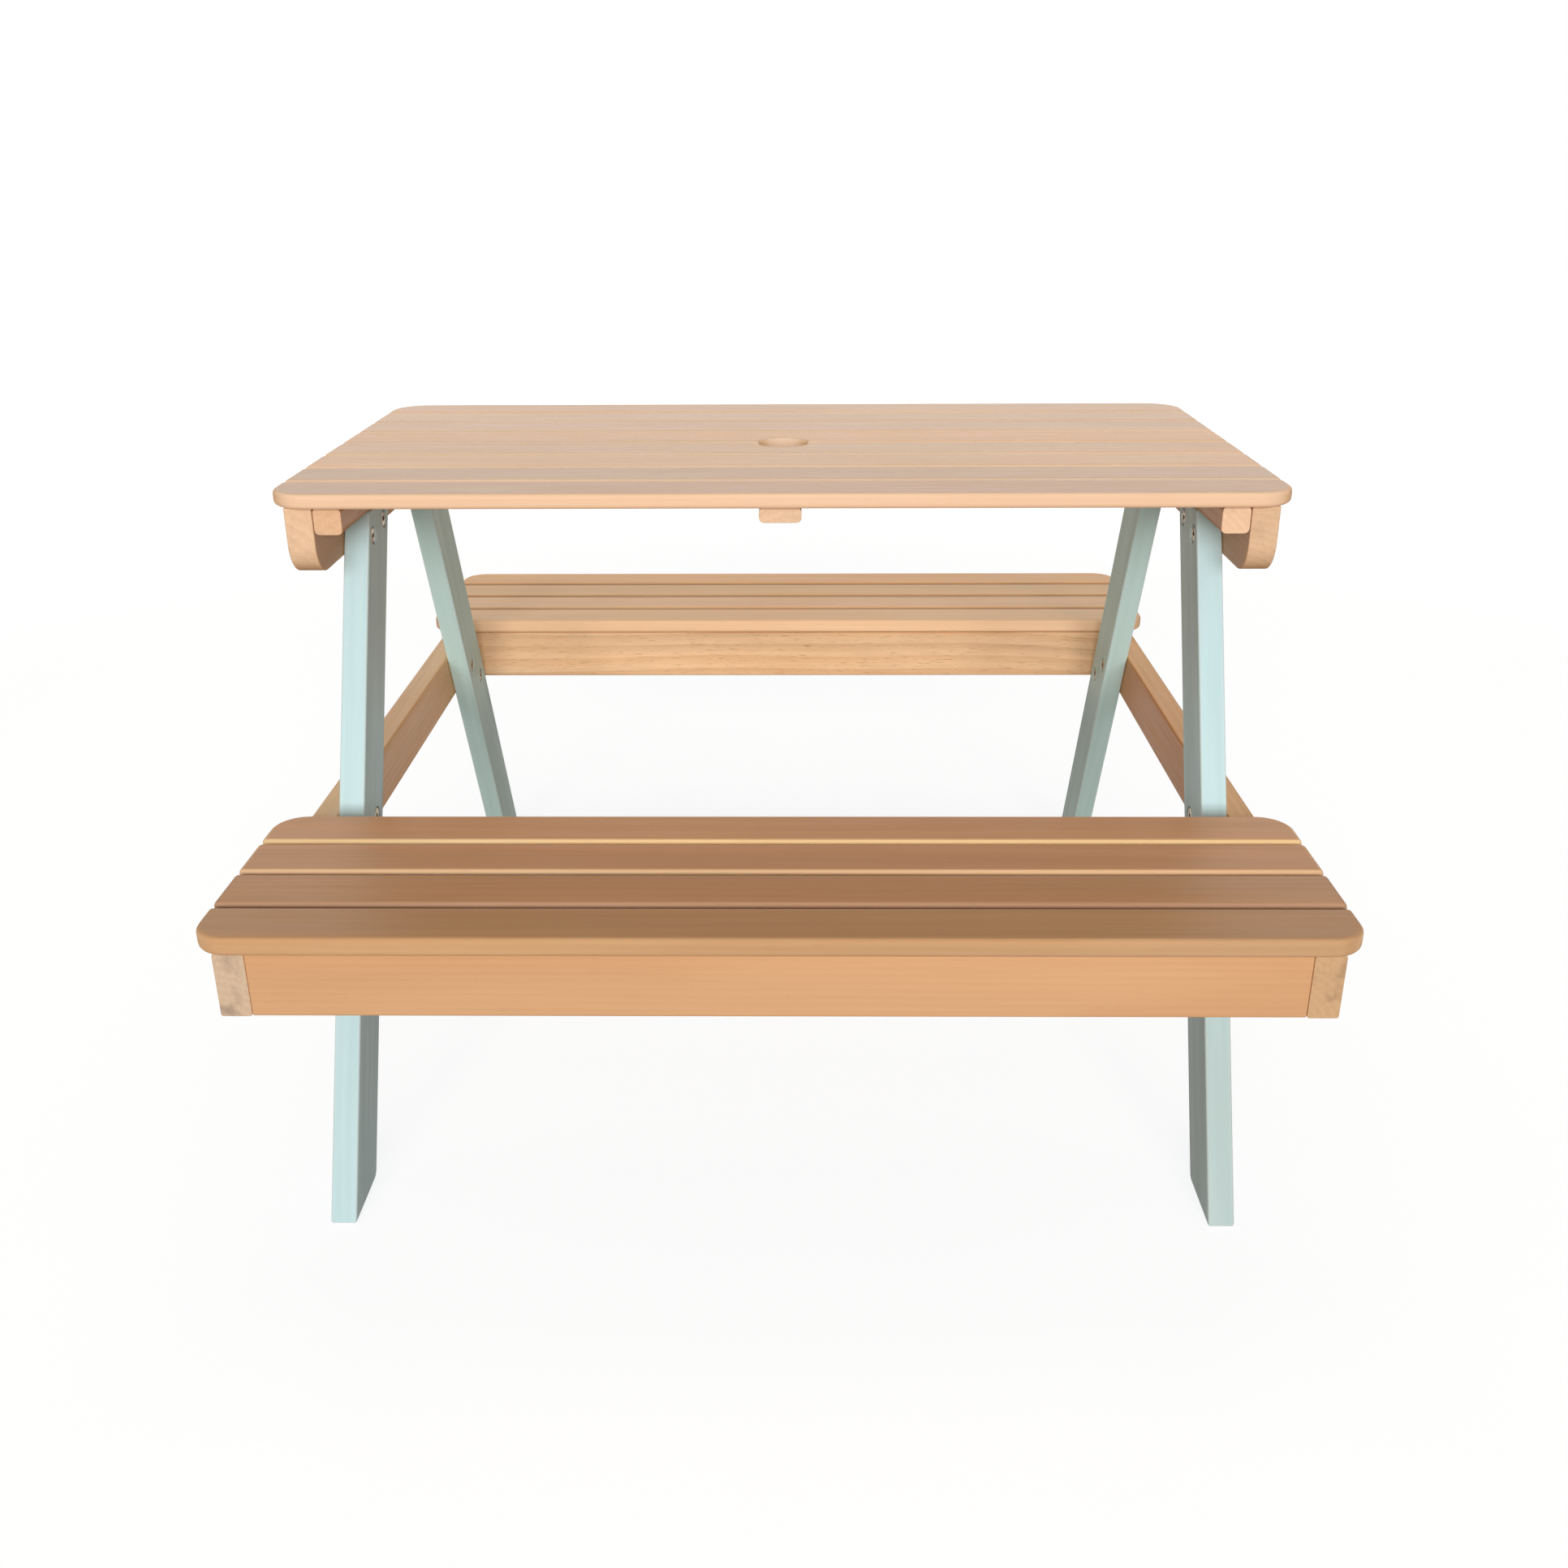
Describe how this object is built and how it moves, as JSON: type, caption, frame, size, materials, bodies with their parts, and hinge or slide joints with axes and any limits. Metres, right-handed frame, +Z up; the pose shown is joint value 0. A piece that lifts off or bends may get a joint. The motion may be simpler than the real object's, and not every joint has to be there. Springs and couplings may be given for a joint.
{
  "type": "kids picnic table",
  "caption": "Children's picnic table: slatted wood top with a round parasol hole and a slatted bench on each side, on painted legs that lean outwards.",
  "frame": {"origin": "on the floor under the middle of the table", "axes": "+X along the table and its benches to the right, +Y from the front bench to the rear bench, +Z up"},
  "size_m": [0.8, 0.9386, 0.557],
  "materials": {
    "slat_wood": "oiled hardwood, fine grain along X, satin",
    "frame_wood": "oiled hardwood, warmer and lighter than the slats, satin",
    "leg_paint": "pale blue-green satin paint on wood",
    "bolt_metal": "yellow-plated, satin"
  },
  "bodies": {
    "root": {"top_slat_1": "slat_wood", "top_slat_2": "slat_wood", "top_slat_3": "slat_wood", "top_slat_4": "slat_wood", "top_slat_5": "slat_wood", "top_slat_6": "slat_wood", "top_slat_7": "slat_wood", "top_slat_8": "slat_wood", "front_seat_slat_1": "slat_wood", "front_seat_slat_2": "slat_wood", "front_seat_slat_3": "slat_wood", "front_seat_slat_4": "slat_wood", "rear_seat_slat_1": "slat_wood", "rear_seat_slat_2": "slat_wood", "rear_seat_slat_3": "slat_wood", "rear_seat_slat_4": "slat_wood", "top_rail_left": "frame_wood", "top_batten_left": "frame_wood", "seat_support_left": "frame_wood", "top_rail_right": "frame_wood", "top_batten_right": "frame_wood", "seat_support_right": "frame_wood", "top_batten_centre_front": "frame_wood", "front_seat_outer_apron": "frame_wood", "front_seat_inner_apron": "frame_wood", "front_seat_cleat_left": "frame_wood", "front_seat_cleat_centre": "frame_wood", "front_seat_cleat_right": "frame_wood", "leg_front_left": "leg_paint", "leg_front_right": "leg_paint", "top_batten_centre_rear": "frame_wood", "rear_seat_outer_apron": "frame_wood", "rear_seat_inner_apron": "frame_wood", "rear_seat_cleat_left": "frame_wood", "rear_seat_cleat_centre": "frame_wood", "rear_seat_cleat_right": "frame_wood", "leg_rear_left": "leg_paint", "leg_rear_right": "leg_paint", "bolt_front_left_top_1": "bolt_metal", "bolt_front_left_top_2": "bolt_metal", "bolt_front_left_seat_1": "bolt_metal", "bolt_front_left_seat_2": "bolt_metal", "bolt_front_right_top_1": "bolt_metal", "bolt_front_right_top_2": "bolt_metal", "bolt_front_right_seat_1": "bolt_metal", "bolt_front_right_seat_2": "bolt_metal", "bolt_rear_left_top_1": "bolt_metal", "bolt_rear_left_top_2": "bolt_metal", "bolt_rear_left_seat_1": "bolt_metal", "bolt_rear_left_seat_2": "bolt_metal", "bolt_rear_right_top_1": "bolt_metal", "bolt_rear_right_top_2": "bolt_metal", "bolt_rear_right_seat_1": "bolt_metal", "bolt_rear_right_seat_2": "bolt_metal"}
  },
  "joints": []
}
